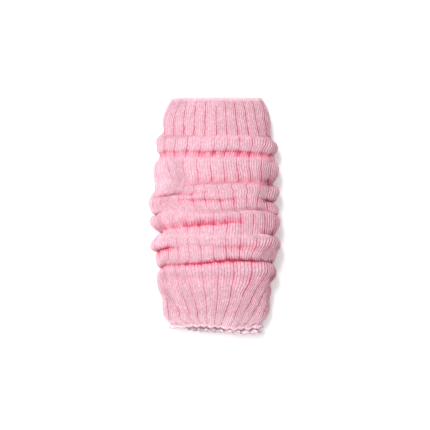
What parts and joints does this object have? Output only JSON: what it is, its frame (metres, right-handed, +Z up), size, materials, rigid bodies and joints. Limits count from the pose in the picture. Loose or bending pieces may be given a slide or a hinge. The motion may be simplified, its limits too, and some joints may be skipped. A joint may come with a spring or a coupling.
{
  "type": "pair of calf socks",
  "caption": "Wide-rib knit calf socks without feet, nested together, pushed down into soft rolls and laid flat on their back.",
  "frame": {"origin": "on the surface that the socks lie on, under the middle of their outline", "axes": "+X to the right across the front, +Y up the leg to the top edge, +Z up through the front"},
  "size_m": [0.1325, 0.2354, 0.0225],
  "materials": {
    "knit": "pale pink wide-rib knit, matte with a slight fuzz",
    "inner_knit": "the same knit, a little deeper in shade"
  },
  "bodies": {
    "root": {"outer_sock": "knit", "inner_sock": "inner_knit"}
  },
  "joints": []
}
